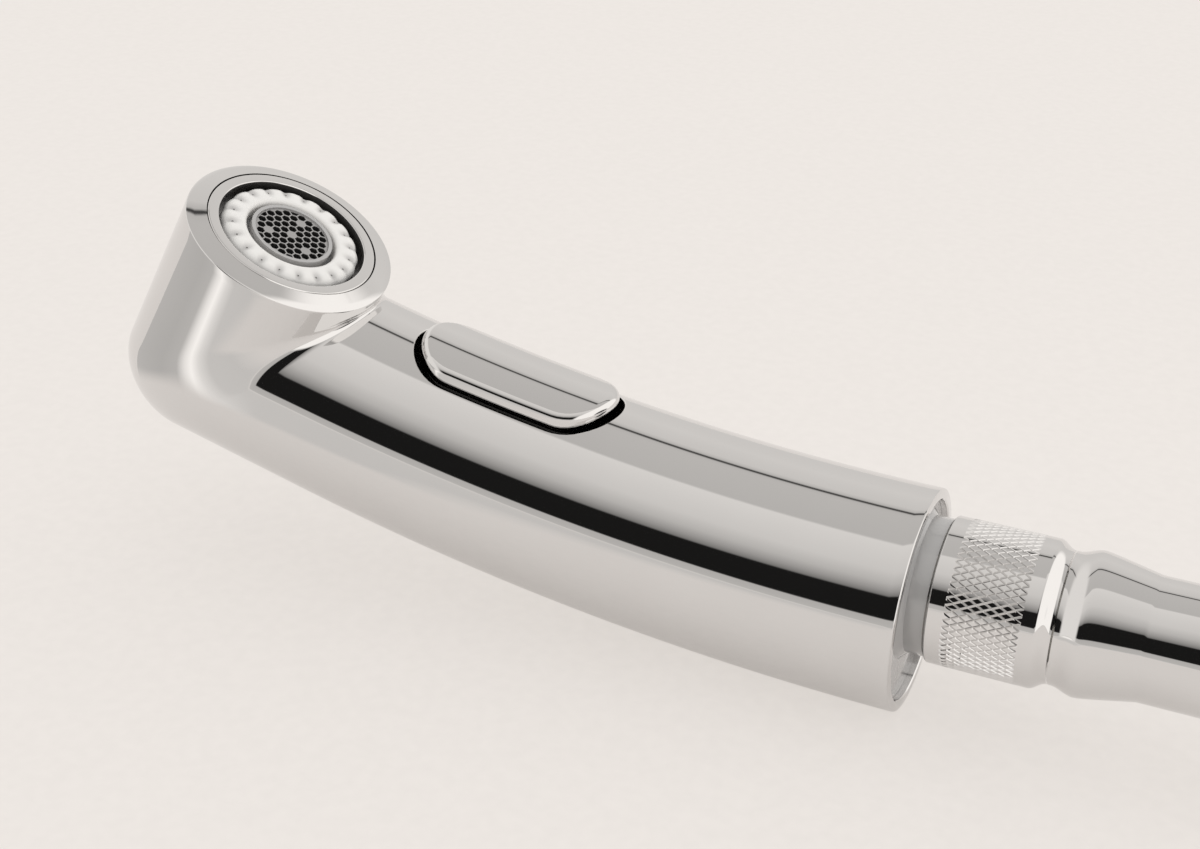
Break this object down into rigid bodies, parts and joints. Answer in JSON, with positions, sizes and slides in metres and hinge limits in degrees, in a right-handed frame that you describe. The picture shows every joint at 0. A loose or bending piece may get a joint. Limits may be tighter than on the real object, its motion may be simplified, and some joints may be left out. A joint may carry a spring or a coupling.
{
  "type": "kitchen tap hand spray",
  "caption": "Curved chrome hand spray with a push button, a round spray face with an aerator, and a knurled hose union with a bell-shaped sleeve.",
  "frame": {"origin": "centre of the handle at the plane of its rear rim, where the spray sits on its holder", "axes": "+X along the hose, away from the handle; +Z to the side that the spray face points to; the XZ plane is the plane of symmetry"},
  "size_m": [0.2211, 0.0372, 0.0691],
  "materials": {
    "chrome": "polished",
    "white_plastic": "satin",
    "pale_plastic": "satin",
    "grey_plastic": "matt",
    "black_plastic": "matt",
    "black_rubber": "matt",
    "steel": "bright",
    "brass": "machined"
  },
  "bodies": {
    "handset": {"handle_shell": "chrome", "face_ring": "chrome", "nozzle_plate": "white_plastic", "spray_distributor": "grey_plastic", "distributor_seal": "black_rubber", "aerator_sleeve": "pale_plastic", "aerator_seal": "black_rubber", "stream_comb": "grey_plastic", "aerator_screen": "steel", "flow_regulator": "white_plastic", "head_manifold": "grey_plastic", "stream_pipe": "white_plastic", "spray_pipe": "white_plastic", "diverter_barrel": "grey_plastic", "button_frame": "black_plastic", "button_spring": "steel", "inlet_pipe": "white_plastic", "rear_collar": "pale_plastic", "hose_adapter": "brass", "adapter_seal": "black_rubber", "check_valve_body": "white_plastic", "check_valve_spring": "steel"},
    "button": {"diverter_button": "chrome", "diverter_spool": "brass", "spool_seals": "black_rubber"},
    "poppet": {"check_valve_poppet": "grey_plastic"},
    "hose_end": {"hose_filter": "steel", "hose_washer": "black_rubber", "slip_ring": "white_plastic"},
    "nut": {"union_nut": "chrome"},
    "hose_coupling": {"hose_tail": "brass", "hose_ferrule": "chrome"}
  },
  "joints": [
    {"name": "button_press", "type": "slide", "parent": "handset", "child": "button", "axis": [-0.1801, 0, -0.9837], "range_m": [0, 0.0025], "stiffness_N_per_m": 600, "springref_m": -0.005, "deforming": ["button_spring"]},
    {"name": "valve_lift", "type": "slide", "parent": "handset", "child": "poppet", "axis": [-1, 0, 0], "range_m": [0, 0.0025], "stiffness_N_per_m": 60, "springref_m": -0.003, "deforming": ["check_valve_spring"]},
    {"name": "union_travel", "type": "slide", "parent": "handset", "child": "hose_end", "axis": [1, 0, 0], "range_m": [0, 0.008]},
    {"name": "nut_turn", "type": "hinge", "parent": "hose_end", "child": "nut", "pos_m": [0.012, 0, 0.0032], "axis": [1, 0, 0], "range_deg": [0, 1588]},
    {"name": "hose_swivel", "type": "hinge", "parent": "hose_end", "child": "hose_coupling", "pos_m": [0.03, 0, 0.0032], "axis": [1, 0, 0], "continuous": true}
  ],
  "couplings": [
    {"joint": "nut_turn", "follows": "union_travel", "rad_per_m": 3463.7}
  ]
}
